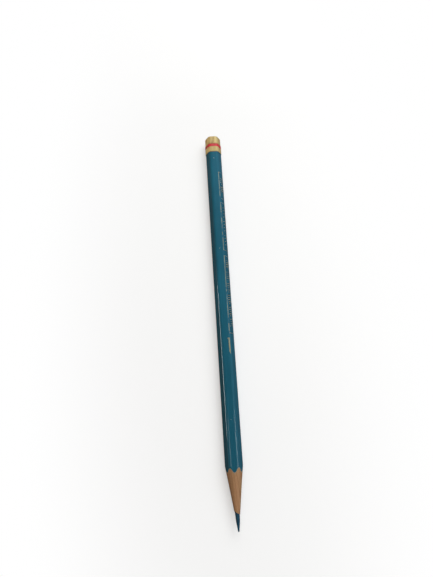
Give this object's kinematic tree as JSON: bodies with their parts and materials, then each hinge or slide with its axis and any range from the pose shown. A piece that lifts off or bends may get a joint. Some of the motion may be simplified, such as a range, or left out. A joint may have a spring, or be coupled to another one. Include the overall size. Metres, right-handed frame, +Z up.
{
  "type": "drawing pencil",
  "caption": "Hexagonal wood-cased drawing pencil with a sharpened coloured core, lacquered body and ringed metal end cap.",
  "frame": {"origin": "under the middle of the pencil's length, on the surface that it lies on", "axes": "+Y along the pencil towards the capped end, +Z up, square to the facet that it rests on"},
  "size_m": [0.0076, 0.1742, 0.0071],
  "materials": {
    "core": "matt waxy pigment core, dark blue",
    "cedar": "bare cut cedar",
    "glue": "thin dried glue line",
    "undercoat": "matt filler coat",
    "lacquer": "glossy teal lacquer",
    "cap_metal": "satin drawn brass",
    "ring_enamel": "red enamel",
    "foil": "worn hot-stamped foil"
  },
  "bodies": {
    "root": {"lead_core": "core", "slat_upper": "cedar", "slat_lower": "cedar", "glue_film_right": "glue", "glue_film_left": "glue", "undercoat": "undercoat", "lacquer_coat": "lacquer", "end_cap": "cap_metal", "red_ring": "ring_enamel", "foil_panel_short": "foil", "foil_panel_middle": "foil", "foil_panel_long": "foil", "foil_mark": "foil"}
  },
  "joints": []
}
